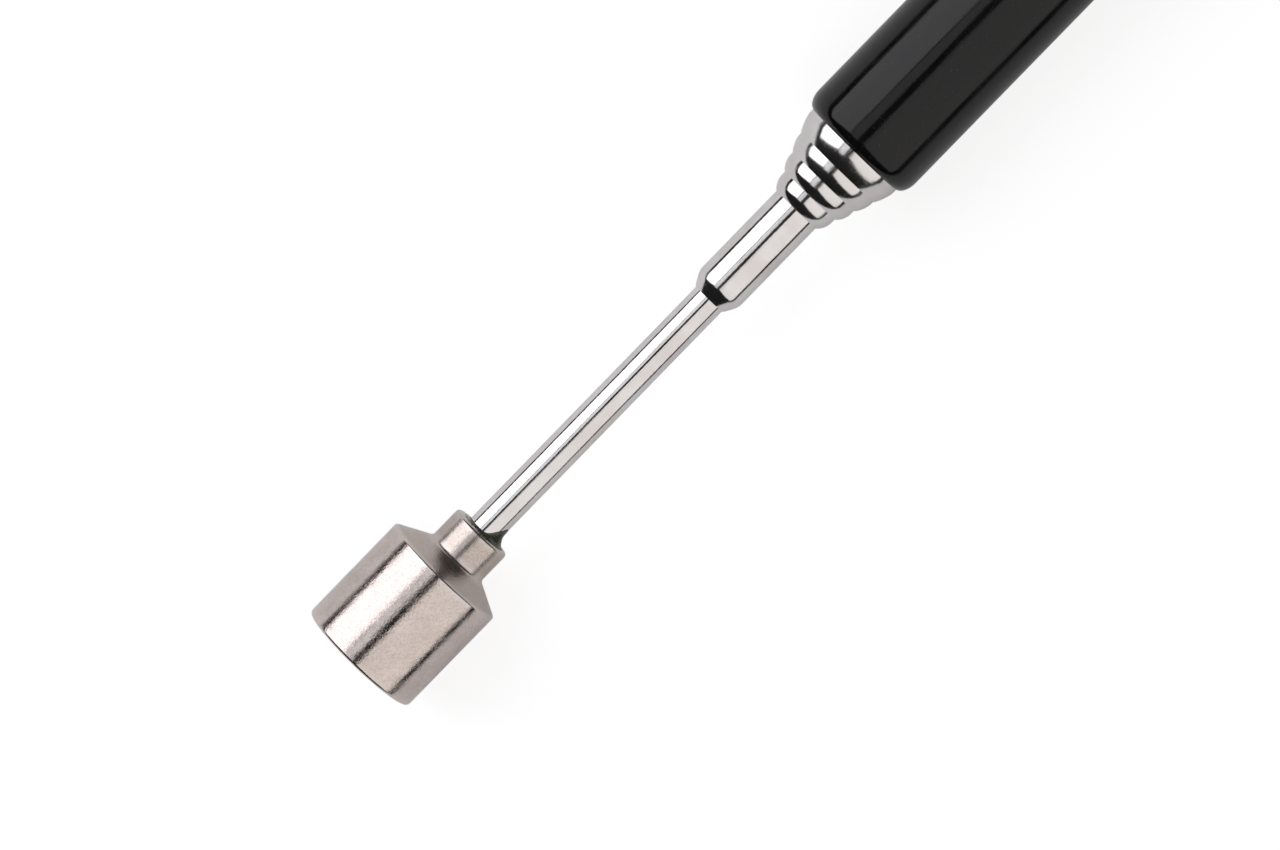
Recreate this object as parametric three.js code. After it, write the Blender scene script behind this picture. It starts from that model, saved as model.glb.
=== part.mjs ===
// A telescopic magnetic pickup tool, in millimetres, +Z up.
//
// The tool lies along X on the plane Z = 0, magnet at -X and grip at +X, part-way open: the three
// widest moving sections are home, section 2 is drawn out a little and the rod more.
// Every round piece is turned about the tool's axis. Its profile is a list of [radius, station],
// and a station is the distance behind the nose of section 6, the fixed tube inside the grip.
// Profiles are drawn with the tool closed; each section's group then slides it forward to rest.
import * as THREE from "three";

// ---- Driving dimensions ----

const SEGMENTS = 36; // facets round every turned piece, with one facet flat on the ground
const HEAD_RADIUS = 5.95;
const GRIP_RADIUS = 5.875;

const SECTION_DIAMETERS = [3.15, 4.75, 6.05, 7.4, 8.7, 10.1]; // section 1, the rod, to section 6
const LAST_SECTION = SECTION_DIAMETERS.length;
const TUBE_WALL = 0.3;
const SEAT_GAP = 0.02; // left between pieces that are pressed, glued or riveted together

const NOSE_STEP = 1.72; // how far each closed section stands out of the next
const NOSE_ARCS = { 2: 10, 3: 1.9, 4: 1.9, 5: 2.8, 6: 6 }; // radius of each rolled nose's profile
const NOSE_CREASES = { 2: 26, 3: 6, 4: 6, 5: 12, 6: 14 }; // degrees by which its rear end turns in
const NOSE_LIP = 0.03; // flat left at the nose's mouth
const NOSE_CLEARANCE = 0.08; // round the section that runs through it
const NOSE_LAND = 1.4; // length of the nose's bore
const NOSE_DEPTH = 2.25; // from the mouth to the end of the inner taper
const NOSE_STEPS = 5;

const GRIP_LENGTH = 115;
const GRIP_SETBACK = 2.1; // from section 6's nose back to the grip's front edge
const GRIP_END = 2.3; // thickness of the grip's closed end
const GRIP_LIP = { radial: 0.95, axial: 1.6, sweep: 77 }; // an elliptical arc, over sweep degrees
const GRIP_BUTT_ROUND = 2;
const GRIP_STEPS = 4;

const PLUG_LENGTH = 6;
const PLUG_CHAMFER = 0.4;
const HOME_GAP = 0.3; // between the rear plug and a closed section's rear end

const BUSH_LENGTH = 5;
const BUSH_FLANGE = 1.4;
const BUSH_CLEARANCE = 0.08; // between a bush's flanges and the tube that it slides in
const GROOVE_UNDERCUT = 0.1; // the groove's floor lies this far below its section's outside
const RIVET_RADIUS = 1; // the rod's turned-down end, on which its bush is riveted

const RING_WIDTH = 1.9;
const RING_CLEARANCE = 0.03; // between the ring and the tube that it slides in
const RING_PLAY = 0.12; // between the ring and the groove's floor
const RING_GAP_ANGLE = THREE.MathUtils.degToRad(40);
const RING_CURVE_SEGMENTS = 12;

const CUP_LENGTH = 10.85;
const CUP_RIM_ROUND = 0.4;
const CUP_SHOULDER = 1.6; // length of the cone between the cup and its neck
const NECK_RADIUS = 2.935;
const NECK_LENGTH = 3.25;
const NECK_FILLET = 0.35;
const NECK_EDGE_ROUND = 0.35;
const NECK_BORE_DEPTH = 3;
const ROUND_STEPS = 3;

const POCKET_RADIUS = 5;
const POCKET_DEPTH = 8;
const MAGNET_RADIUS = 4;
const MAGNET_EDGE = 0.15;
const SPACER_RECESS = 0.3;

const ADHESIVE_HEIGHT = 1.8; // along the rod, on the glue's fat side
const ADHESIVE_SPREAD = 0.85; // width of its foot beyond the rod, on the same side
const ADHESIVE_RUNOUT = 3.5; // how fast it gets thinner along the rod
const ADHESIVE_EDGE = 0.05;
const ADHESIVE_FAT_SIDE = THREE.MathUtils.degToRad(25); // above the horizontal
const ADHESIVE_SKIRT = 0.7; // share of its foot's width that is left on the other side
const ADHESIVE_THIN_SIDE = 0.1; // share of its height that is left there
const ADHESIVE_FADE = 8; // how fast it gets thinner from one side to the other
const ADHESIVE_STEPS = 6;

const CLOSED_ROD_GAP = 1.3; // between the neck and section 2's nose when the tool is closed
const DRAWN_OUT = { 1: 27.25, 2: 9.2, 3: 0, 4: 0, 5: 0 }; // how far each section is out at rest

// ---- Stations that follow from them ----

const HEAD_LENGTH = CUP_LENGTH + CUP_SHOULDER + NECK_LENGTH;
const GRIP_REAR = GRIP_SETBACK + GRIP_LENGTH;
const TUBE_REAR = GRIP_REAR - GRIP_END;
const SECTION_REAR = TUBE_REAR - PLUG_LENGTH - HOME_GAP;
const BUSH_FRONT = SECTION_REAR - BUSH_LENGTH;
const NECK_TOP = noseStation(2) - CLOSED_ROD_GAP;
const FACE = NECK_TOP - HEAD_LENGTH;
const FACE_AT_REST = FACE - Object.values(DRAWN_OUT).reduce((sum, travel) => sum + travel, 0);

function outerRadius(section) {
  return SECTION_DIAMETERS[section - 1] / 2;
}

function boreRadius(section) {
  return outerRadius(section) - TUBE_WALL;
}

function noseStation(section) {
  return -(LAST_SECTION - section) * NOSE_STEP;
}

function grooveRadius(section) {
  return outerRadius(section) - GROOVE_UNDERCUT;
}

// ---- Materials ----

function finish(color, metalness, roughness) {
  return new THREE.MeshStandardMaterial({ color, metalness, roughness });
}

const satinNickel = finish(0xb9aca2, 1, 0.35);
const groundMagnet = finish(0x8f8d8b, 1, 0.45);
const chrome = finish(0xd9d6d2, 1, 0.12);
const brass = finish(0xb8924a, 1, 0.3);
const bronze = finish(0xa8743f, 1, 0.35);
const bareSteel = finish(0x8d8c8a, 1, 0.4);
const greenAdhesive = finish(0x3d4433, 0, 0.3);
const blackVinyl = finish(0x1b1a18, 0, 0.25);

// ---- Shape helpers ----

// Points of an elliptical arc in a profile, both ends included. Angles are in degrees, from the
// radial direction towards the rear.
function arcPoints(centreRadius, centreStation, radial, axial, fromDegrees, toDegrees, steps) {
  const points = [];
  for (let step = 0; step <= steps; step += 1) {
    const degrees = fromDegrees + ((toDegrees - fromDegrees) * step) / steps;
    const angle = THREE.MathUtils.degToRad(degrees);
    points.push([centreRadius + radial * Math.cos(angle), centreStation + axial * Math.sin(angle)]);
  }
  return points;
}

// A profile turned into a solid. Its facets touch the true circle from outside, so that a bore
// and what runs in it keep their clearance.
function turnedGeometry(profile) {
  const facetScale = 1 / Math.cos(Math.PI / SEGMENTS);
  const points = profile.map(([radius, station]) => new THREE.Vector2(radius * facetScale, station));
  return new THREE.LatheGeometry(points, SEGMENTS, Math.PI / SEGMENTS, 2 * Math.PI);
}

function turned(name, material, profile) {
  const mesh = new THREE.Mesh(turnedGeometry(profile), material);
  mesh.name = name;
  return mesh;
}

// A profile that doesn't reach the axis is closed on itself.
function closedRing(points) {
  return [...points, points[0]];
}

// ---- Head ----

// A nickel-plated steel pot with a pocket for the magnet, a cone and a bored neck for the rod.
function magnetCup() {
  const shoulderFoot = FACE + CUP_LENGTH;
  const neckFoot = shoulderFoot + CUP_SHOULDER;
  const boreWall = outerRadius(1) + SEAT_GAP;
  return turned("magnet_cup", satinNickel, [
    [0, FACE + POCKET_DEPTH],
    [POCKET_RADIUS, FACE + POCKET_DEPTH],
    [POCKET_RADIUS, FACE],
    ...arcPoints(
      HEAD_RADIUS - CUP_RIM_ROUND, FACE + CUP_RIM_ROUND, CUP_RIM_ROUND, CUP_RIM_ROUND, -90, 0, ROUND_STEPS,
    ),
    [HEAD_RADIUS, shoulderFoot],
    ...arcPoints(
      NECK_RADIUS + NECK_FILLET, neckFoot + NECK_FILLET, NECK_FILLET, NECK_FILLET, 240, 180, ROUND_STEPS,
    ),
    ...arcPoints(
      NECK_RADIUS - NECK_EDGE_ROUND, NECK_TOP - NECK_EDGE_ROUND, NECK_EDGE_ROUND, NECK_EDGE_ROUND, 0, 90,
      ROUND_STEPS,
    ),
    [boreWall, NECK_TOP],
    [boreWall, NECK_TOP - NECK_BORE_DEPTH],
    [0, NECK_TOP - NECK_BORE_DEPTH],
  ]);
}

function magnet() {
  const rear = FACE + POCKET_DEPTH - SEAT_GAP;
  return turned("magnet", groundMagnet, [
    [0, FACE],
    [MAGNET_RADIUS - MAGNET_EDGE, FACE],
    [MAGNET_RADIUS, FACE + MAGNET_EDGE],
    [MAGNET_RADIUS, rear],
    [0, rear],
  ]);
}

// The non-magnetic ring that keeps the pot's wall away from the magnet.
function magnetSpacerRing() {
  const front = FACE + SPACER_RECESS;
  const rear = FACE + POCKET_DEPTH - SEAT_GAP;
  const inner = MAGNET_RADIUS + SEAT_GAP;
  const outer = POCKET_RADIUS - SEAT_GAP;
  return turned("magnet_spacer_ring", brass, closedRing([
    [inner, front],
    [outer, front],
    [outer, rear],
    [inner, rear],
  ]));
}

// Glue squeezed out of the neck round the rod: a concave fillet that is fat on one side, and only
// a film on the neck's end on the other.
function adhesiveFillet() {
  const bore = outerRadius(1) + SEAT_GAP;
  const foot = NECK_TOP + SEAT_GAP;
  const profile = [[bore, foot]];
  for (let step = 0; step <= ADHESIVE_STEPS; step += 1) {
    const rise = step / ADHESIVE_STEPS;
    const spread = ADHESIVE_SPREAD * (1 - rise) ** ADHESIVE_RUNOUT;
    profile.push([bore + ADHESIVE_EDGE + spread, foot + rise * ADHESIVE_HEIGHT]);
  }
  profile.push([bore, foot + ADHESIVE_HEIGHT]);
  const mesh = turned("adhesive_fillet", greenAdhesive, closedRing(profile));
  const corners = mesh.geometry.getAttribute("position");
  const edge = (bore + ADHESIVE_EDGE) / Math.cos(Math.PI / SEGMENTS);
  for (let index = 0; index < corners.count; index += 1) {
    const radius = Math.hypot(corners.getX(index), corners.getZ(index));
    const angle = Math.atan2(corners.getZ(index), corners.getX(index)) - ADHESIVE_FAT_SIDE;
    const fatness = ((1 + Math.cos(angle)) / 2) ** ADHESIVE_FADE;
    const width = ADHESIVE_SKIRT + (1 - ADHESIVE_SKIRT) * fatness;
    const height = ADHESIVE_THIN_SIDE + (1 - ADHESIVE_THIN_SIDE) * fatness;
    const narrowing = radius > edge ? (edge + (radius - edge) * width) / radius : 1;
    corners.setX(index, corners.getX(index) * narrowing);
    corners.setY(index, foot + (corners.getY(index) - foot) * height);
    corners.setZ(index, corners.getZ(index) * narrowing);
  }
  return mesh;
}

// ---- Telescopic sections ----

// Section 1 is solid: glued in the neck at the front, turned down at the rear for its bush.
function rod() {
  const radius = outerRadius(1);
  const front = NECK_TOP - NECK_BORE_DEPTH + SEAT_GAP;
  return turned("section_1_rod", chrome, [
    [0, front],
    [radius, front],
    [radius, BUSH_FRONT - SEAT_GAP],
    [RIVET_RADIUS, BUSH_FRONT - SEAT_GAP],
    [RIVET_RADIUS, SECTION_REAR],
    [0, SECTION_REAR],
  ]);
}

// A thin tube whose front end is rolled in to guide the next section and to stop its bush.
function tube(section) {
  const outer = outerRadius(section);
  const bore = boreRadius(section);
  const mouth = outerRadius(section - 1) + NOSE_CLEARANCE;
  const nose = noseStation(section);
  const rear = section === LAST_SECTION ? TUBE_REAR : BUSH_FRONT - SEAT_GAP;
  const arc = NOSE_ARCS[section];
  const start = NOSE_CREASES[section];
  const startCosine = Math.cos(THREE.MathUtils.degToRad(start));
  const endCosine = startCosine - (outer - mouth - NOSE_LIP) / arc;
  const end = THREE.MathUtils.radToDeg(Math.acos(endCosine));
  const centreStation = nose + arc * Math.sqrt(1 - endCosine ** 2);
  return turned(`section_${section}_tube`, chrome, closedRing([
    [mouth, nose],
    ...arcPoints(outer - arc * startCosine, centreStation, arc, arc, -end, -start, NOSE_STEPS),
    [outer, rear],
    [bore, rear],
    [bore, nose + NOSE_DEPTH],
    [mouth, nose + NOSE_LAND],
  ]));
}

// The grooved brass bush on a section's rear end. Its front flange meets the next nose when the
// section is fully out, and its bore is as wide as the tube's, so closed sections nest in it.
function stopBush(section) {
  const bore = section === 1 ? RIVET_RADIUS + SEAT_GAP : boreRadius(section);
  const flange = boreRadius(section + 1) - BUSH_CLEARANCE;
  const groove = grooveRadius(section);
  return turned(`stop_bush_${section}`, brass, closedRing([
    [bore, BUSH_FRONT],
    [flange, BUSH_FRONT],
    [flange, BUSH_FRONT + BUSH_FLANGE],
    [groove, BUSH_FRONT + BUSH_FLANGE],
    [groove, SECTION_REAR - BUSH_FLANGE],
    [flange, SECTION_REAR - BUSH_FLANGE],
    [flange, SECTION_REAR],
    [bore, SECTION_REAR],
  ]));
}

// The split spring ring that rides in the bush's groove and drags on the tube round it.
function frictionRing(section) {
  const outer = boreRadius(section + 1) - RING_CLEARANCE;
  const inner = grooveRadius(section) + RING_PLAY;
  const outline = new THREE.Shape();
  outline.absarc(0, 0, outer, RING_GAP_ANGLE / 2, 2 * Math.PI - RING_GAP_ANGLE / 2, false);
  outline.absarc(0, 0, inner, 2 * Math.PI - RING_GAP_ANGLE / 2, RING_GAP_ANGLE / 2, true);
  outline.closePath();
  const geometry = new THREE.ExtrudeGeometry(outline, {
    depth: RING_WIDTH,
    bevelEnabled: false,
    curveSegments: RING_CURVE_SEGMENTS,
  });
  const mesh = new THREE.Mesh(geometry, bronze);
  mesh.name = `friction_ring_${section}`;
  mesh.rotation.x = -Math.PI / 2;
  mesh.position.y = (BUSH_FRONT + SECTION_REAR - RING_WIDTH) / 2;
  return mesh;
}

// ---- Handle ----

function rearPlug() {
  const radius = boreRadius(LAST_SECTION) - SEAT_GAP;
  const front = TUBE_REAR - PLUG_LENGTH;
  return turned("rear_plug", bareSteel, [
    [0, front],
    [radius - PLUG_CHAMFER, front],
    [radius, front + PLUG_CHAMFER],
    [radius, TUBE_REAR],
    [0, TUBE_REAR],
  ]);
}

// A vinyl sleeve with a closed rear end, pulled over section 6.
function gripSleeve() {
  const bore = outerRadius(LAST_SECTION) + SEAT_GAP;
  const innerEnd = TUBE_REAR + SEAT_GAP;
  return turned("grip_sleeve", blackVinyl, [
    [0, innerEnd],
    [bore, innerEnd],
    [bore, GRIP_SETBACK],
    ...arcPoints(
      GRIP_RADIUS - GRIP_LIP.radial, GRIP_SETBACK + GRIP_LIP.axial, GRIP_LIP.radial, GRIP_LIP.axial,
      -GRIP_LIP.sweep, 0,
      GRIP_STEPS,
    ),
    ...arcPoints(
      GRIP_RADIUS - GRIP_BUTT_ROUND, GRIP_REAR - GRIP_BUTT_ROUND, GRIP_BUTT_ROUND, GRIP_BUTT_ROUND, 0, 90,
      GRIP_STEPS,
    ),
    [0, GRIP_REAR],
  ]);
}

// ---- Assembly ----

// The pieces that slide and turn together with one section.
function sectionGroup(section) {
  const group = new THREE.Group();
  group.name = `section_${section}`;
  group.position.y = -DRAWN_OUT[section];
  group.add(stopBush(section), frictionRing(section));
  if (section === 1) {
    group.add(rod(), adhesiveFillet(), magnetCup(), magnet(), magnetSpacerRing());
  } else {
    group.add(tube(section), sectionGroup(section - 1));
  }
  return group;
}

const tool = new THREE.Group();
tool.name = "magnetic_pickup_tool";
tool.add(tube(LAST_SECTION), rearPlug(), gripSleeve(), sectionGroup(LAST_SECTION - 1));
tool.rotation.z = -Math.PI / 2;
tool.position.set(-(FACE_AT_REST + GRIP_REAR) / 2, 0, HEAD_RADIUS);

export default tool;
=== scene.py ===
"""Looks of a telescopic magnetic pickup tool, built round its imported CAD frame, in metres."""

import math

import bmesh
import bpy
from mathutils import Matrix, Vector, noise

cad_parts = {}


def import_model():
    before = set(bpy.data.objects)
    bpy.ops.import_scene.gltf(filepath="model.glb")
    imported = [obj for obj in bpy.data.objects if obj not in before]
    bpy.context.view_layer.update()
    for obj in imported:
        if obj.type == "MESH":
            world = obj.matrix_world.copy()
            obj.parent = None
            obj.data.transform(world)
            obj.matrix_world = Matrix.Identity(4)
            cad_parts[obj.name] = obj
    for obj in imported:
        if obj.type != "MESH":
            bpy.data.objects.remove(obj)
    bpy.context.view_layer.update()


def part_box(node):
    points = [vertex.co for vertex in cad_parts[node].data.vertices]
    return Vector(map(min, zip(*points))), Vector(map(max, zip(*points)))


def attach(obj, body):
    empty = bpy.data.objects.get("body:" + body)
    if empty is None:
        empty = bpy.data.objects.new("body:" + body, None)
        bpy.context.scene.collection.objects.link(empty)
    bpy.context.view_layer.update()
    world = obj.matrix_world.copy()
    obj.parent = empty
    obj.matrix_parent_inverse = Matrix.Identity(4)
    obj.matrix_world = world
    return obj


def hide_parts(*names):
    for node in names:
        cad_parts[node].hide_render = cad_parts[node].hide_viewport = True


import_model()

MM = 0.001
SECTIONS = (1, 2, 3, 4, 5, 6)
MOVING_SECTIONS = SECTIONS[:-1]
AXIS_HEIGHT = sum(corner.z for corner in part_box("grip_sleeve")) / 2

# Small features that a node's box doesn't show, as in the CAD part.
CUP_LENGTH = 10.85 * MM
CUP_SHOULDER = 1.6 * MM
TUBE_WALL = 0.3 * MM
NOSE_ARCS = {2: 10 * MM, 3: 1.9 * MM, 4: 1.9 * MM, 5: 2.8 * MM, 6: 6 * MM}
NOSE_CREASES = {2: 26, 3: 6, 4: 6, 5: 12, 6: 14}  # degrees by which its rear end turns in
NOSE_CLEARANCE = 0.08 * MM
NOSE_LAND = 1.4 * MM
NOSE_DEPTH = 2.25 * MM
SEAT_GAP = 0.02 * MM


# ---- Mesh tools ----

AROUND = 160  # faces round a turned piece
CORNER_STEPS = 5
SUPPORT = 0.03 * MM  # rings this close to a corner keep the long face next to it flat in shading
WEAR_REACH = 0.45 * MM  # edge wear fades out this far from a corner
WEAR_AT_SUPPORT = 0.85  # share of a corner's wear that is left at its support ring
SHORTEST_CUT = 2.5  # a stretch shorter than this many reaches gets no ring at that reach
SHARP_ANGLE = math.radians(38)


def span(node):
    """The stations where a node starts and ends along the tool."""
    low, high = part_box(node)
    return low.x, high.x


def radius_of(node):
    """A round node's true outer radius."""
    low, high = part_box(node)
    return (high.z - low.z) / 2


def arc(station, radius, size, start, end, steps):
    """Worn profile points on a circular arc. Angles are degrees from the radial direction to the rear."""
    points = []
    for step in range(steps + 1):
        angle = math.radians(start + (end - start) * step / steps)
        points.append((station + size * math.sin(angle), radius + size * math.cos(angle), 1.0))
    return points


def rounded(corners):
    """Profile points (station, radius, wear) from corners (station, radius, rounding)."""
    points = []
    last = len(corners) - 1
    for index, (station, radius, rounding) in enumerate(corners):
        here = Vector((station, radius))
        if rounding <= 0 or index in (0, last):
            points.append((station, radius, 0.0))
            continue
        before = Vector(corners[index - 1][:2]) - here
        after = Vector(corners[index + 1][:2]) - here
        half = before.angle(after) / 2
        reach = min(rounding / math.tan(half), 0.49 * before.length, 0.49 * after.length)
        first = here + before.normalized() * reach
        final = here + after.normalized() * reach
        for step in range(CORNER_STEPS + 1):
            t = step / CORNER_STEPS
            point = first * (1 - t) ** 2 + here * 2 * t * (1 - t) + final * t**2
            points.append((point.x, point.y, 1.0))
    return points


def supported(profile, spacing=None):
    """Adds rings near the ends of each long stretch, and along it at most spacing apart."""
    points = [profile[0]]
    for (s0, r0, w0), (s1, r1, w1) in zip(profile, profile[1:]):
        length = math.hypot(s1 - s0, r1 - r0)
        cuts = []
        for reach, left in ((SUPPORT, WEAR_AT_SUPPORT), (WEAR_REACH, 0.0)):
            if length > SHORTEST_CUT * reach:
                cuts += [(reach / length, w0 * left), (1 - reach / length, w1 * left)]
        if spacing and length > 2 * WEAR_REACH + spacing:
            count = math.ceil(length / spacing)
            margin = WEAR_REACH / length
            fill = [step / count for step in range(1, count)]
            cuts += [(t, 0.0) for t in fill if margin < t < 1 - margin]
        for t, wear in sorted(cuts):
            points.append((s0 + (s1 - s0) * t, r0 + (r1 - r0) * t, wear))
        points.append((s1, r1, w1))
    return points


def new_piece(node, body, slot, mesh_data):
    """A smooth-shaded object in the slot's finish that rides on a body and stands for a CAD node."""
    name = node + "_look"
    mesh = bpy.data.meshes.new(name)
    mesh_data.to_mesh(mesh)
    mesh_data.free()
    for face in mesh.polygons:
        face.use_smooth = True
    mesh.set_sharp_from_angle(angle=SHARP_ANGLE)
    mesh.materials.append(FINISHES[slot])
    piece = bpy.data.objects.new(name, mesh)
    bpy.context.scene.collection.objects.link(piece)
    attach(piece, body)
    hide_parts(node)


def join_rings(made, pairs):
    """Adds faces between pairs of rings of corners. A ring on the axis is one corner repeated."""
    for front, rear in pairs:
        for index in range(len(front)):
            following = (index + 1) % len(front)
            corners = [front[index], front[following], rear[following], rear[index]]
            unique = list(dict.fromkeys(corners))
            if len(unique) > 2:
                made.faces.new(unique)


def turned_mesh(profile, closed, shape=None):
    """A solid of revolution about the tool's axis. shape(station, radius, angle) moves each point.

    A closed profile is a ring's section; an open one starts and ends on the axis.
    """
    made = bmesh.new()
    wear_layer = made.verts.layers.float.new("wear")
    rings = []
    for station, radius, wear in profile:
        if radius == 0:
            rings.append([made.verts.new((station, 0, AXIS_HEIGHT))] * AROUND)
            continue
        ring = []
        for index in range(AROUND):
            angle = 2 * math.pi * index / AROUND
            at, reach = shape(station, radius, angle) if shape else (station, radius)
            place = (at, reach * math.sin(angle), AXIS_HEIGHT + reach * math.cos(angle))
            corner = made.verts.new(place)
            corner[wear_layer] = wear
            ring.append(corner)
        rings.append(ring)
    join_rings(made, zip(rings, rings[1:]))
    if closed:
        join_rings(made, [(rings[-1], rings[0])])
    bmesh.ops.recalc_face_normals(made, faces=made.faces)
    return made


def turned(node, body, slot, corners, closed=False, spacing=None):
    """Rounds a profile's corners, turns it, and stands it in for the CAD node."""
    profile = supported(rounded(corners), spacing)
    new_piece(node, body, slot, turned_mesh(profile, closed))


# ---- Material tools ----


class Finish:
    """A node material with one Principled shader, and short ways to add nodes to it."""

    def __init__(self, name, **settings):
        self.material = bpy.data.materials.new(name)
        self.material.use_nodes = True
        self.tree = self.material.node_tree
        self.shader = self.tree.nodes["Principled BSDF"]
        for setting, value in settings.items():
            label = setting.replace("_", " ").title().replace("Ior", "IOR")
            self.shader.inputs[label].default_value = value
        self.place = self.node("ShaderNodeTexCoord").outputs["Object"]

    def node(self, kind, inputs=None, **settings):
        made = self.tree.nodes.new(kind)
        for label, value in settings.items():
            setattr(made, label, value)
        for key, value in (inputs or {}).items():
            if isinstance(value, bpy.types.NodeSocket):
                self.tree.links.new(value, made.inputs[key])
            else:
                made.inputs[key].default_value = value
        return made

    def math(self, operation, first, second=0.0):
        return self.node("ShaderNodeMath", {0: first, 1: second}, operation=operation).outputs[0]

    def stretched(self, x, y, z):
        """Object coordinates, scaled."""
        scaled = self.node("ShaderNodeVectorMath", {0: self.place, 1: (x, y, z)}, operation="MULTIPLY")
        return scaled.outputs[0]

    def noise(self, scale, detail, rough, place=None):
        made = self.node("ShaderNodeTexNoise", {
            "Vector": place or self.place, "Scale": scale, "Detail": detail, "Roughness": rough,
        })
        return made.outputs["Fac"]

    def ramp(self, value, low, high, from_low=0.0, from_high=1.0):
        """value mapped from one range to another, held at the ends."""
        made = self.node("ShaderNodeMapRange", {
            "Value": value, "From Min": from_low, "From Max": from_high, "To Min": low, "To Max": high,
        })
        return made.outputs["Result"]

    def blend(self, factor, first, second):
        made = self.node("ShaderNodeMix", data_type="RGBA")
        for key, value in (("Factor", factor), ("A", first), ("B", second)):
            socket = next(s for s in made.inputs if s.name == key and (key == "Factor" or s.type == "RGBA"))
            if isinstance(value, bpy.types.NodeSocket):
                self.tree.links.new(value, socket)
            else:
                socket.default_value = value
        return next(s for s in made.outputs if s.type == "RGBA")

    def hairlines(self, place, width):
        """1 on thin lines that follow the contours of a stretched noise, 0 elsewhere."""
        field = self.noise(1.0, 1.0, 0.4, place)
        off = self.math("ABSOLUTE", self.math("SUBTRACT", field, 0.5))
        return self.ramp(off, 1.0, 0.0, 0.0, width)

    def wear(self):
        return self.node("ShaderNodeAttribute", attribute_name="wear").outputs["Fac"]

    def bump(self, layers):
        """Stacks height fields, each (socket, depth in metres), and feeds the shader's normal."""
        normal = None
        for height, depth in layers:
            inputs = {"Height": height, "Distance": depth, "Strength": 1.0}
            if normal:
                inputs["Normal"] = normal
            normal = self.node("ShaderNodeBump", inputs).outputs["Normal"]
        self.feed("Normal", normal)

    def feed(self, label, socket):
        self.tree.links.new(socket, self.shader.inputs[label])


def rgba(red, green, blue):
    return (red, green, blue, 1.0)


# ---- Finishes ----

FINISH_CHANGE = 0.2 * MM  # the cup's bright finish turns duller over this length


def satin_nickel():
    """Bright nickel plate over grainy steel. Behind the shoulder it is duller, browner and ringed."""
    f = Finish("satin_nickel", metallic=1.0)
    shoulder = span("magnet_cup")[0] + CUP_LENGTH
    station = f.node("ShaderNodeSeparateXYZ", {0: f.place}).outputs["X"]
    behind = f.ramp(station, 0, 1, shoulder, shoulder + FINISH_CHANGE)
    blotch = f.ramp(f.noise(520, 3, 0.6), 0, 1, 0.35, 0.65)
    fleck = f.ramp(f.noise(5500, 3, 0.7), 1, 0, 0.36, 0.56)
    pits = f.ramp(f.noise(2300, 2, 0.7), 1, 0, 0.22, 0.27)
    tone = f.blend(blotch, rgba(0.68, 0.60, 0.56), rgba(0.78, 0.69, 0.65))
    tone = f.blend(f.math("MULTIPLY", behind, 0.8), tone, rgba(0.58, 0.51, 0.46))
    tone = f.blend(f.math("MULTIPLY", fleck, 0.42), tone, rgba(0.40, 0.34, 0.31))
    tone = f.blend(f.math("MULTIPLY", pits, 0.45), tone, rgba(0.24, 0.20, 0.18))
    tone = f.blend(f.math("MULTIPLY", f.wear(), 0.35), tone, rgba(0.84, 0.78, 0.74))
    f.feed("Base Color", tone)
    rough = f.ramp(f.noise(900, 4, 0.6), 0.022, 0.05, 0.3, 0.7)
    f.feed("Roughness", f.math("ADD", rough, f.math("MULTIPLY", behind, 0.18)))
    gritty = f.ramp(f.noise(800, 2, 0.5), 0.6, 1.05, 0.35, 0.65)
    grain = f.math("MULTIPLY", f.noise(6000, 3, 0.65), gritty)
    rings = f.math("MULTIPLY", f.noise(1.0, 3, 0.7, f.stretched(5200, 60, 60)), behind)
    f.bump([(grain, 1.6e-5), (pits, -5e-6), (rings, 8e-6)])
    return f.material


def chrome_plate():
    """Bright plating with lengthwise sliding scratches, faint tinted smudges and rubbed noses."""
    f = Finish("chrome_plate", metallic=1.0)
    smudge = f.noise(340, 3, 0.6)
    tone = f.blend(f.ramp(smudge, 0, 1, 0.38, 0.62), rgba(0.78, 0.745, 0.73), rgba(0.84, 0.83, 0.83))
    tone = f.blend(f.math("MULTIPLY", f.wear(), 0.2), tone, rgba(0.72, 0.70, 0.68))
    f.feed("Base Color", tone)
    scratches = f.hairlines(f.stretched(14, 2600, 2600), 0.012)
    drawn = f.noise(1.0, 3, 0.6, f.stretched(60, 5200, 5200))
    speckle = f.noise(4200, 2, 0.6)
    rough = f.ramp(smudge, 0.07, 0.12, 0.35, 0.7)
    rough = f.math("ADD", rough, f.math("MULTIPLY", scratches, 0.05))
    f.feed("Roughness", f.math("ADD", rough, f.math("MULTIPLY", f.wear(), 0.03)))
    f.bump([(drawn, 1.1e-6), (scratches, -1.2e-6), (speckle, 3.0e-6)])
    return f.material


def black_vinyl():
    """Glossy dip-moulded vinyl: slow waves, faint orange peel, dull handling patches and dust."""
    f = Finish("black_vinyl", metallic=0.0, ior=1.41)
    patches = f.noise(150, 4, 0.6)
    handled = f.ramp(patches, 0, 1, 0.35, 0.65)
    tone = f.blend(handled, rgba(0.0030, 0.0032, 0.0034), rgba(0.0062, 0.0062, 0.0062))
    dust = f.ramp(f.noise(5200, 1, 0.5), 0, 1, 0.72, 0.76)
    tone = f.blend(f.math("MULTIPLY", dust, 0.3), tone, rgba(0.16, 0.15, 0.14))
    f.feed("Base Color", tone)
    waves = f.noise(1.0, 2, 0.5, f.stretched(90, 420, 420))
    peel = f.noise(2100, 2, 0.5)
    scratches = f.hairlines(f.stretched(55, 700, 700), 0.004)
    rough = f.ramp(patches, 0.10, 0.20, 0.35, 0.7)
    f.feed("Roughness", f.math("ADD", rough, f.math("MULTIPLY", scratches, 0.12)))
    f.bump([(waves, 3.0e-5), (peel, 1.6e-6), (scratches, -1.5e-6)])
    return f.material


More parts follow.
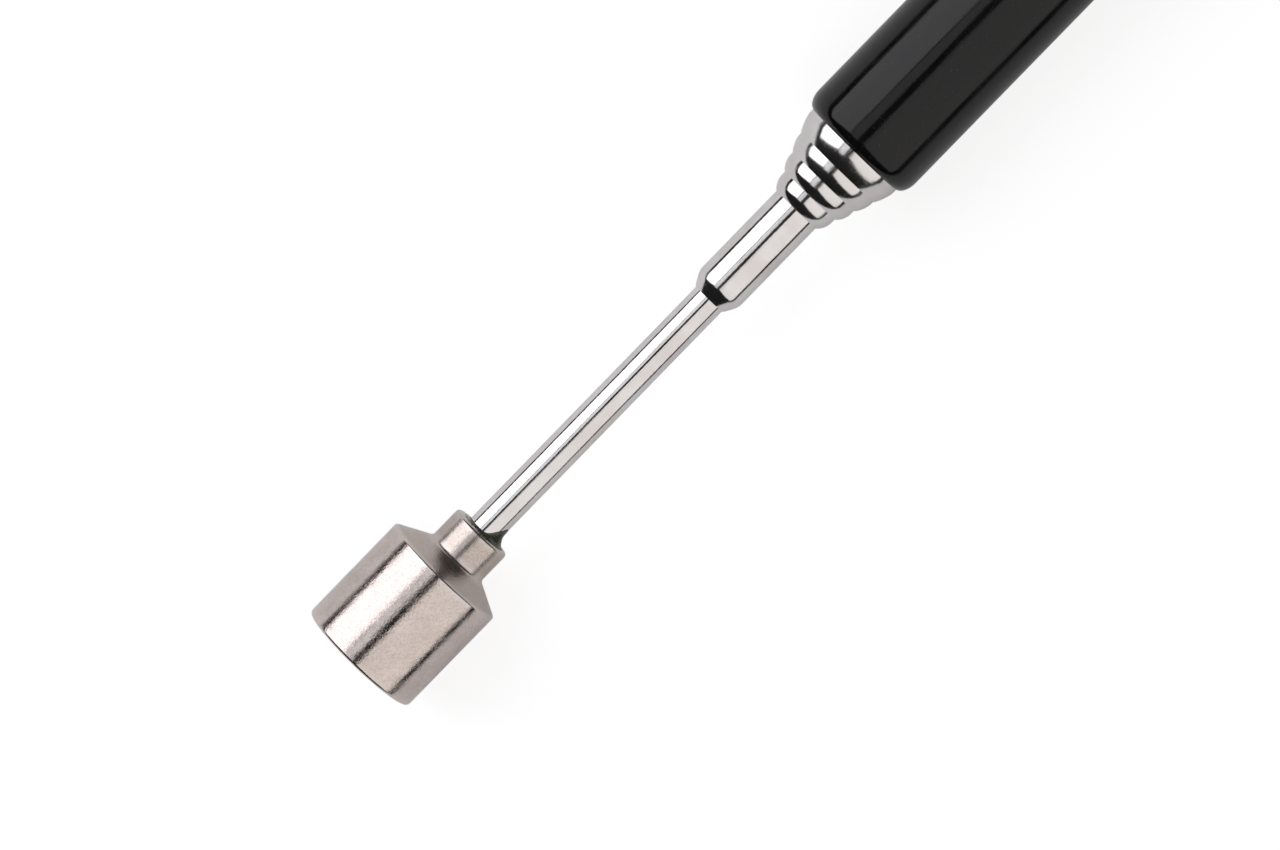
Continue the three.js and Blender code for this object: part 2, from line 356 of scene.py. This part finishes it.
def green_adhesive():
    """Cured dark green retaining compound, glassy, with small bubbles and thinner, lighter edges."""
    f = Finish("green_adhesive", metallic=0.0, ior=1.5, coat_weight=0.4, coat_roughness=0.08)
    depth = f.noise(1400, 4, 0.6)
    tone = f.blend(f.ramp(depth, 0, 1, 0.35, 0.65), rgba(0.034, 0.040, 0.023), rgba(0.088, 0.098, 0.058))
    bubbles = f.node("ShaderNodeTexVoronoi", {"Vector": f.place, "Scale": 3600.0}).outputs["Distance"]
    spots = f.ramp(bubbles, 1, 0, 0.10, 0.22)
    tone = f.blend(f.math("MULTIPLY", spots, 0.4), tone, rgba(0.16, 0.18, 0.11))
    f.feed("Base Color", tone)
    f.feed("Roughness", f.ramp(depth, 0.18, 0.38, 0.3, 0.7))
    f.bump([(depth, 4e-5), (spots, 4e-6)])
    return f.material


def ground_magnet():
    """A ground, uncoated magnet: straight grinding lines, dark pores and rubbed edges."""
    f = Finish("ground_magnet", metallic=1.0)
    lines = f.noise(1.0, 3, 0.7, f.stretched(40, 90, 9000))
    pores = f.ramp(f.noise(2600, 2, 0.6), 1, 0, 0.25, 0.31)
    tone = f.blend(lines, rgba(0.36, 0.35, 0.34), rgba(0.56, 0.55, 0.53))
    tone = f.blend(f.math("MULTIPLY", pores, 0.8), tone, rgba(0.08, 0.07, 0.065))
    tone = f.blend(f.math("MULTIPLY", f.wear(), 0.6), tone, rgba(0.66, 0.64, 0.61))
    f.feed("Base Color", tone)
    f.feed("Roughness", f.ramp(f.noise(700, 3, 0.6), 0.26, 0.45, 0.3, 0.7))
    f.bump([(lines, 3e-6), (pores, -9e-6)])
    return f.material


def turned_metal(name, dark, light, tarnish, rough):
    """Turned brass, rolled bronze or bare steel: tool rings under patchy tarnish."""
    f = Finish(name, metallic=1.0)
    rings = f.noise(1.0, 4, 0.75, f.stretched(8200, 90, 90))
    patches = f.noise(900, 4, 0.6)
    tone = f.blend(rings, dark, light)
    tone = f.blend(f.ramp(patches, 0, 0.75, 0.5, 0.72), tone, tarnish)
    tone = f.blend(f.math("MULTIPLY", f.wear(), 0.5), tone, light)
    f.feed("Base Color", tone)
    f.feed("Roughness", f.ramp(patches, rough, rough + 0.2, 0.3, 0.7))
    f.bump([(rings, 3.5e-6), (f.noise(6000, 2, 0.6), 2e-6)])
    return f.material


def brass():
    dark = rgba(0.55, 0.36, 0.13)
    light = rgba(0.80, 0.60, 0.28)
    return turned_metal("brass", dark, light, tarnish=rgba(0.27, 0.15, 0.06), rough=0.2)


def bronze():
    dark = rgba(0.46, 0.25, 0.12)
    light = rgba(0.70, 0.44, 0.25)
    return turned_metal("bronze", dark, light, tarnish=rgba(0.2, 0.1, 0.06), rough=0.25)


def bare_steel():
    dark = rgba(0.3, 0.3, 0.3)
    light = rgba(0.58, 0.57, 0.56)
    return turned_metal("bare_steel", dark, light, tarnish=rgba(0.2, 0.15, 0.12), rough=0.3)


FINISHES = {
    "satin_nickel": satin_nickel(),
    "chrome_plate": chrome_plate(),
    "black_vinyl": black_vinyl(),
    "green_adhesive": green_adhesive(),
    "ground_magnet": ground_magnet(),
    "brass": brass(),
    "bronze": bronze(),
    "bare_steel": bare_steel(),
}


# ---- Head ----

CUP_RIM_ROUND = 0.4 * MM
SHOULDER_ROUND = 0.22 * MM
NECK_RADIUS = 2.935 * MM
NECK_FILLET = 0.5 * MM
NECK_EDGE_ROUND = 0.35 * MM
NECK_BORE_DEPTH = 3 * MM
POCKET_RADIUS = 5 * MM
POCKET_DEPTH = 8 * MM
POCKET_EDGE = 0.12 * MM
MAGNET_EDGE = 0.15 * MM
SPACER_EDGE = 0.06 * MM
HEAD_SPACING = 0.8 * MM


def magnet_cup():
    """The plated pot: rounded rim, cone, and a neck bored for the rod."""
    face, top = span("magnet_cup")
    radius = radius_of("magnet_cup")
    shoulder = face + CUP_LENGTH
    foot = shoulder + CUP_SHOULDER
    bore = radius_of("section_1_rod") + SEAT_GAP
    turned("magnet_cup", "section_1", "satin_nickel", [
        (face + POCKET_DEPTH, 0, 0),
        (face + POCKET_DEPTH, POCKET_RADIUS, 0),
        (face, POCKET_RADIUS, POCKET_EDGE),
        (face, radius, CUP_RIM_ROUND),
        (shoulder, radius, SHOULDER_ROUND),
        (foot, NECK_RADIUS, NECK_FILLET),
        (top, NECK_RADIUS, NECK_EDGE_ROUND),
        (top, bore, 0),
        (top - NECK_BORE_DEPTH, bore, 0),
        (top - NECK_BORE_DEPTH, 0, 0),
    ], spacing=HEAD_SPACING)


def magnet():
    face, rear = span("magnet")
    radius = radius_of("magnet")
    turned("magnet", "section_1", "ground_magnet", [
        (face, 0, 0),
        (face, radius, MAGNET_EDGE),
        (rear, radius, MAGNET_EDGE),
        (rear, 0, 0),
    ], spacing=HEAD_SPACING)


def magnet_spacer_ring():
    front, rear = span("magnet_spacer_ring")
    inner = radius_of("magnet") + SEAT_GAP
    outer = radius_of("magnet_spacer_ring")
    corners = ring_section(front, rear, inner, outer, SPACER_EDGE)
    turned("magnet_spacer_ring", "section_1", "brass", corners, closed=True)


def ring_section(front, rear, inner, outer, edge):
    """A rectangular section. It starts and ends half-way along the bore, so every corner is rounded."""
    middle = (front + rear) / 2
    return [
        (middle, inner, 0),
        (front, inner, edge),
        (front, outer, edge),
        (rear, outer, edge),
        (rear, inner, edge),
        (middle + SUPPORT, inner, 0),
    ]


ADHESIVE_SPREAD = 0.85 * MM
ADHESIVE_RUNOUT = 3.5  # power by which it gets thinner along the rod
ADHESIVE_FILM = 0.04 * MM
ADHESIVE_RINGS = 30
ADHESIVE_FAT_SIDE = math.radians(-65)  # from straight up towards +Y
ADHESIVE_SKIRT = 0.7  # share of its foot's width that is left on the other side
ADHESIVE_THIN_SIDE = 0.1  # share of its height that is left there
ADHESIVE_FADE = 11  # power by which it gets smaller from the fat side to the other
ADHESIVE_LUMP = 0.24  # most that noise swells or shrinks it by, as a share of its size
ADHESIVE_LUMP_SIZE = 0.9 * MM


def adhesive_fillet():
    """Glue squeezed out round the rod: a concave fillet, fat and long on the upper -Y side only."""
    foot, crest = span("adhesive_fillet")
    rod = radius_of("section_1_rod")
    profile = [(foot, rod, 0)]
    for step in range(ADHESIVE_RINGS + 1):
        rise = step / ADHESIVE_RINGS
        spread = ADHESIVE_SPREAD * (1 - rise) ** ADHESIVE_RUNOUT
        profile.append((foot + rise * (crest - foot), rod + ADHESIVE_FILM + spread, 0))
    profile.append((crest, rod, 0))

    def swollen(station, radius, angle):
        fatness = ((1 + math.cos(angle - ADHESIVE_FAT_SIDE)) / 2) ** ADHESIVE_FADE
        place = Vector((station, radius * math.sin(angle), radius * math.cos(angle))) / ADHESIVE_LUMP_SIZE
        lumpy = 1 + ADHESIVE_LUMP * noise.noise(place)
        width = lumpy * (ADHESIVE_SKIRT + (1 - ADHESIVE_SKIRT) * fatness)
        height = lumpy * (ADHESIVE_THIN_SIDE + (1 - ADHESIVE_THIN_SIDE) * fatness)
        return foot + (station - foot) * height, rod + (radius - rod) * width

    new_piece("adhesive_fillet", "section_1", "green_adhesive", turned_mesh(profile, True, swollen))


# ---- Telescopic sections ----

RIVET_RADIUS = 1 * MM
ROD_EDGE = 0.15 * MM
TUBE_REAR_EDGE = 0.04 * MM
NOSE_LIP_ROUND = 0.03 * MM
CREASE_ROUND = 1.6 * MM
NOSE_STEPS = 16
CREASE_STEPS = 8
ROD_SPACING = 4 * MM
TUBE_SPACING = 6 * MM


def rod():
    front, rear = span("section_1_rod")
    bush_front = span("stop_bush_1")[0]
    radius = radius_of("section_1_rod")
    turned("section_1_rod", "section_1", "chrome_plate", [
        (front, 0, 0),
        (front, radius, ROD_EDGE),
        (bush_front - SEAT_GAP, radius, ROD_EDGE),
        (bush_front - SEAT_GAP, RIVET_RADIUS, 0),
        (rear, RIVET_RADIUS, ROD_EDGE),
        (rear, 0, 0),
    ], spacing=ROD_SPACING)


def rolled_nose(section, nose, outer, mouth):
    """A nose's outline from its lip back to the tube: an arc, and a smaller one that rounds its crease."""
    size = NOSE_ARCS[section]
    crease = math.radians(NOSE_CREASES[section])
    rear = outer - CREASE_ROUND * (1 - math.cos(crease))
    end = math.acos(math.cos(crease) - (rear - mouth - NOSE_LIP_ROUND) / size)
    centre = nose + size * math.sin(end)
    height = rear - size * math.cos(crease)
    outline = arc(centre, height, size, -math.degrees(end), -NOSE_CREASES[section], NOSE_STEPS)
    centre += (CREASE_ROUND - size) * math.sin(crease)
    height = outer - CREASE_ROUND
    return outline + arc(centre, height, CREASE_ROUND, -NOSE_CREASES[section], 0, CREASE_STEPS)[1:]


def tube(section):
    """A chrome tube whose nose is rolled in round the next section."""
    node = f"section_{section}_tube"
    body = "handle" if section == SECTIONS[-1] else f"section_{section}"
    inside = "section_1_rod" if section == 2 else f"section_{section - 1}_tube"
    nose, rear = span(node)
    outer = radius_of(node)
    bore = outer - TUBE_WALL
    mouth = radius_of(inside) + NOSE_CLEARANCE
    rolled = rolled_nose(section, nose, outer, mouth)
    behind = [
        (rear, outer, TUBE_REAR_EDGE),
        (rear, bore, TUBE_REAR_EDGE),
        (nose + NOSE_DEPTH, bore, 0),
        (nose + NOSE_LAND, mouth, 0),
        (nose, mouth, 0),
    ]
    lip = rounded([(nose + NOSE_LAND, mouth, 0), (nose, mouth, NOSE_LIP_ROUND), rolled[0][:2] + (0,)])
    back = rounded([rolled[-1][:2] + (0,)] + behind[:-1])
    profile = supported(lip[:-1] + rolled + back[1:-1], TUBE_SPACING)
    new_piece(node, body, "chrome_plate", turned_mesh(profile, True))


BUSH_FLANGE = 1.4 * MM
BUSH_EDGE = 0.07 * MM
GROOVE_UNDERCUT = 0.1 * MM


def stop_bush(section):
    """The grooved brass bush on a section's rear end."""
    node = f"stop_bush_{section}"
    front, rear = span(node)
    flange = radius_of(node)
    own = radius_of("section_1_rod" if section == 1 else f"section_{section}_tube")
    bore = RIVET_RADIUS + SEAT_GAP if section == 1 else own - TUBE_WALL
    groove = own - GROOVE_UNDERCUT
    middle = (front + rear) / 2
    turned(node, f"section_{section}", "brass", [
        (middle, bore, 0),
        (front, bore, BUSH_EDGE),
        (front, flange, BUSH_EDGE),
        (front + BUSH_FLANGE, flange, BUSH_EDGE),
        (front + BUSH_FLANGE, groove, 0),
        (rear - BUSH_FLANGE, groove, 0),
        (rear - BUSH_FLANGE, flange, BUSH_EDGE),
        (rear, flange, BUSH_EDGE),
        (rear, bore, BUSH_EDGE),
        (middle + SUPPORT, bore, 0),
    ], closed=True)


RING_PLAY = 0.12 * MM
RING_GAP = math.radians(40)
RING_EDGE = 0.05 * MM
RING_STEPS = 72


def friction_ring(section):
    """A split bronze ring: a rounded strip bent round the groove, its gap facing -Y."""
    node = f"friction_ring_{section}"
    own = radius_of("section_1_rod" if section == 1 else f"section_{section}_tube")
    front, rear = span(node)
    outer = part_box(node)[1].y  # true at +Y, away from the gap
    inner = own - GROOVE_UNDERCUT + RING_PLAY
    section_points = rounded(ring_section(front, rear, inner, outer, RING_EDGE))
    made = bmesh.new()
    wear_layer = made.verts.layers.float.new("wear")
    rings = []
    for step in range(RING_STEPS + 1):
        angle = RING_GAP / 2 + (2 * math.pi - RING_GAP) * step / RING_STEPS
        ring = []
        for station, radius, wear in section_points:
            place = (station, -radius * math.cos(angle), AXIS_HEIGHT + radius * math.sin(angle))
            corner = made.verts.new(place)
            corner[wear_layer] = wear
            ring.append(corner)
        rings.append(ring)
    join_rings(made, zip(rings, rings[1:]))
    made.faces.new(rings[0])
    made.faces.new(rings[-1])
    bmesh.ops.recalc_face_normals(made, faces=made.faces)
    new_piece(node, f"slider_{section}", "bronze", made)


# ---- Handle ----

PLUG_CHAMFER = 0.4 * MM
PLUG_EDGE = 0.1 * MM
PLUG_SPACING = 1.5 * MM
GRIP_LIP_RADIAL = 0.95 * MM
GRIP_LIP_AXIAL = 1.6 * MM
GRIP_LIP_SWEEP = math.radians(77)
GRIP_LIP_STEPS = 12
GRIP_BUTT_ROUND = 2 * MM
GRIP_BUTT_STEPS = 14
GRIP_SPACING = 1.6 * MM
GRIP_END = 2.3 * MM
GRIP_WAVE = 0.018 * MM  # height of the slow waves left by dip moulding
GRIP_WAVES_ALONG = 45  # cells of the noise that makes them, per metre
GRIP_WAVES_AROUND = 1.3  # radius of the circle that the noise is read on, in its cells


def rear_plug():
    front, rear = span("rear_plug")
    radius = radius_of("rear_plug")
    turned("rear_plug", "handle", "bare_steel", [
        (front, 0, 0),
        (front, radius - PLUG_CHAMFER, PLUG_EDGE),
        (front + PLUG_CHAMFER, radius, PLUG_EDGE),
        (rear, radius, PLUG_EDGE),
        (rear, 0, 0),
    ], spacing=PLUG_SPACING)


def grip_lip(front, radius):
    """The sleeve's soft front edge, from front to rear: part of an ellipse."""
    lip = []
    for step in range(GRIP_LIP_STEPS, -1, -1):
        angle = GRIP_LIP_SWEEP * step / GRIP_LIP_STEPS
        lip.append((
            front + GRIP_LIP_AXIAL * (1 - math.sin(angle)),
            radius - GRIP_LIP_RADIAL * (1 - math.cos(angle)),
            0.0,
        ))
    return lip


def grip_sleeve():
    """The vinyl sleeve: a soft front edge, a closed round butt and slight moulding waves."""
    front, rear = span("grip_sleeve")
    radius = radius_of("grip_sleeve")
    bore = radius_of("section_6_tube") + SEAT_GAP
    inner_end = rear - GRIP_END + SEAT_GAP
    centre = (rear - GRIP_BUTT_ROUND, radius - GRIP_BUTT_ROUND)
    butt = arc(*centre, GRIP_BUTT_ROUND, 0, 90, GRIP_BUTT_STEPS)
    butt = [(station, reach, 0.0) for station, reach, _ in butt]
    inside = [(inner_end, 0, 0.0), (inner_end, bore, 0.0), (front, bore, 0.0)]
    outside = grip_lip(front, radius) + butt + [(rear, 0, 0.0)]
    profile = supported(inside + outside, GRIP_SPACING)

    def waved(station, reach, angle):
        around = Vector((0, math.sin(angle), math.cos(angle))) * GRIP_WAVES_AROUND
        place = Vector((station * GRIP_WAVES_ALONG, 0, 0)) + around
        fade = min(1, max(0, (reach - bore) / (radius - bore)))
        return station, reach - GRIP_WAVE * fade * (0.5 + 0.5 * noise.noise(place))

    new_piece("grip_sleeve", "handle", "black_vinyl", turned_mesh(profile, False, waved))


def build_tool():
    magnet_cup()
    magnet()
    magnet_spacer_ring()
    adhesive_fillet()
    rod()
    for section in SECTIONS[1:]:
        tube(section)
    for section in MOVING_SECTIONS:
        stop_bush(section)
        friction_ring(section)
    rear_plug()
    grip_sleeve()


# ---- Stage ----

FLOOR_HALF = 6.0
CARD_HALF = 0.14  # half-width of the pale card under the tool, as the metal reflects it
CARD_END = 0.175  # where the card has faded into the table
CARD_LEAN = 0.01  # the card's painted glow is brighter at +Y, as if lit by the bright panel, and changes over this reach
CARD_PAINTED_GLOW = (0.10, 0.17)  # painted glow of the card, as reflections see it, at -Y and at +Y
TABLE_SHADE = 0.10
SEEN_SHADE = 0.45
SEEN_GLOW = 0.80


def grey(level):
    return rgba(level, level, level)


def pale_floor():
    """Seen directly it is evenly bright. Reflections see a pale card on a darker table, and the card glows
    with painted light that is brighter at +Y, under the bright panel.
    """
    f = Finish("pale_floor", roughness=0.9)
    place = f.node("ShaderNodeSeparateXYZ", {0: f.place})
    aside = f.math("ABSOLUTE", place.outputs["Y"])
    card = f.ramp(aside, 1.0, 0.0, CARD_HALF, CARD_END)
    pale = f.blend(f.noise(900, 3, 0.6), grey(0.86), grey(0.90))
    reflected = f.blend(card, grey(TABLE_SHADE), pale)
    seen = f.node("ShaderNodeLightPath").outputs["Is Camera Ray"]
    f.feed("Base Color", f.blend(seen, reflected, grey(SEEN_SHADE)))
    # Painted light: the card emits a glow that reflections see, brighter at +Y as if lit by the bright
    # panel.
    painted_glow_lean = f.ramp(place.outputs["Y"], 0, 1, -CARD_LEAN, CARD_LEAN)
    painted_card_glow = f.blend(card, grey(0), f.blend(painted_glow_lean, grey(CARD_PAINTED_GLOW[0]), grey(CARD_PAINTED_GLOW[1])))
    f.feed("Emission Color", f.blend(seen, painted_card_glow, grey(SEEN_GLOW)))
    f.shader.inputs["Emission Strength"].default_value = 1.0
    return f.material


def floor():
    made = bmesh.new()
    bmesh.ops.create_grid(made, x_segments=8, y_segments=8, size=FLOOR_HALF)
    mesh = bpy.data.meshes.new("floor")
    made.to_mesh(mesh)
    made.free()
    mesh.materials.append(pale_floor())
    plane = bpy.data.objects.new("floor", mesh)
    bpy.context.scene.collection.objects.link(plane)


ROOM_REACH = (-0.4, 0.9)  # how much a direction points to +X, at the room's darkest and lightest
ROOM_SHADE = (0.012, 0.06)
BACKDROP = 0.97


def world():
    """Pale to the camera. Reflections see a dim room that is darker towards the magnet's end."""
    made = bpy.data.worlds.new("studio")
    made.use_nodes = True
    tree = made.node_tree
    direction = tree.nodes.new("ShaderNodeTexCoord").outputs["Generated"]
    split = tree.nodes.new("ShaderNodeSeparateXYZ")
    tree.links.new(direction, split.inputs[0])
    room = tree.nodes.new("ShaderNodeMapRange")
    for side, limits in (("From", ROOM_REACH), ("To", ROOM_SHADE)):
        for end, value in zip(("Min", "Max"), limits):
            room.inputs[f"{side} {end}"].default_value = value
    tree.links.new(split.outputs["X"], room.inputs["Value"])
    path = tree.nodes.new("ShaderNodeLightPath")
    mix = tree.nodes.new("ShaderNodeMix")
    mix.data_type = "FLOAT"
    mix.inputs["B"].default_value = BACKDROP
    tree.links.new(room.outputs["Result"], mix.inputs["A"])
    tree.links.new(path.outputs["Is Camera Ray"], mix.inputs["Factor"])
    tree.links.new(mix.outputs["Result"], tree.nodes["Background"].inputs["Color"])
    bpy.context.scene.world = made


PANEL_BACK = 0.69  # how far the light panels reach to -X, the magnet's end
PANEL_FRONT = 0.35  # and to +X, the grip's


def panel(name, low, high, distance, radiance, colour):
    """A soft rectangular light that covers directions from low to high degrees off the vertical.

    Positive angles lean to +Y.
    """
    middle = math.radians((low + high) / 2)
    half = math.radians((high - low) / 2)
    light = bpy.data.lights.new(name, "AREA")
    light.shape = "RECTANGLE"
    light.size = PANEL_BACK + PANEL_FRONT
    light.size_y = 2 * distance * math.tan(half)
    # A Blender area light of power P and area A has radiance P / (pi A).
    light.energy = radiance * math.pi * light.size * light.size_y
    light.color = colour
    lamp = bpy.data.objects.new(name, light)
    towards = Vector((0, math.sin(middle), math.cos(middle)))
    centre = Vector(((PANEL_FRONT - PANEL_BACK) / 2, 0, AXIS_HEIGHT)) + towards * distance
    across = Vector((1, 0, 0))
    lamp.matrix_world = Matrix.Translation(centre) @ Matrix(
        (across, towards.cross(across), towards)
    ).transposed().to_4x4()
    lamp.visible_camera = False
    bpy.context.scene.collection.objects.link(lamp)


def lights():
    """A bright panel at +Y, a dimmer warm one at -Y and a narrow one between, with dark gaps."""
    panel("left_panel", 25, 80, 1.0, 1.65, (1.0, 0.99, 1.03))
    panel("top_strip", 8, 22.5, 0.98, 0.8, (0.97, 0.97, 1.0))
    panel("right_panel", -82, -4.5, 1.0, 0.86, (1.0, 0.965, 0.943))


CAMERA_DISTANCE = 0.613
CAMERA_TILT = math.radians(4.6)  # off the vertical, towards the grip
CAMERA_LENS = 197
TOOL_ANGLE = math.radians(45.75)  # how steeply the tool rises to the right in the picture
AIM_BEHIND_FACE = 32.07 * MM
AIM_ASIDE = -3.36 * MM


def camera():
    data = bpy.data.cameras.new("camera")
    data.lens = CAMERA_LENS
    data.clip_start = 0.01
    data.clip_end = 50
    made = bpy.data.objects.new("camera", data)
    aim = Vector((span("magnet_cup")[0] + AIM_BEHIND_FACE, AIM_ASIDE, AXIS_HEIGHT))
    back = Vector((math.sin(CAMERA_TILT), 0, math.cos(CAMERA_TILT)))
    along = (Vector((1, 0, 0)) - back * back.x).normalized()
    aside = back.cross(along)
    right = along * math.cos(TOOL_ANGLE) - aside * math.sin(TOOL_ANGLE)
    up = along * math.sin(TOOL_ANGLE) + aside * math.cos(TOOL_ANGLE)
    turn = Matrix((right, up, back)).transposed().to_4x4()
    made.matrix_world = Matrix.Translation(aim + back * CAMERA_DISTANCE) @ turn
    bpy.context.scene.collection.objects.link(made)
    bpy.context.scene.camera = made


build_tool()
floor()
world()
lights()
camera()
bpy.context.scene.view_settings.view_transform = "Standard"
